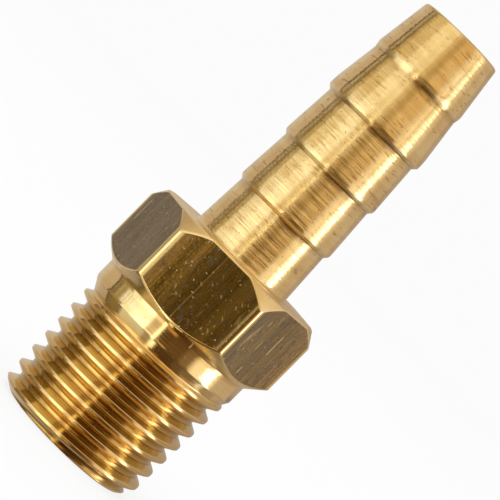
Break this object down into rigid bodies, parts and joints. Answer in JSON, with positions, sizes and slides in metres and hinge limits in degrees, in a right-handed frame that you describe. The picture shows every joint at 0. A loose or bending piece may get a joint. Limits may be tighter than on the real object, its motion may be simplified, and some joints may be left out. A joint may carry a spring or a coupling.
{
  "type": "hose barb tail",
  "caption": "Turned brass hose barb tail with a taper pipe thread, a wrench hexagon and a barbed hose shank, bored through from end to end.",
  "frame": {"origin": "on the axis, at the end face of the thread, which is the lowest point", "axes": "+Z runs along the axis from the thread to the hose tip; one flat of the hexagon faces -Y"},
  "size_m": [0.0164, 0.0142, 0.0417],
  "materials": {
    "brass": "turned and drawn brass, bright"
  },
  "bodies": {
    "root": {"hose_tail": "brass"}
  },
  "joints": []
}
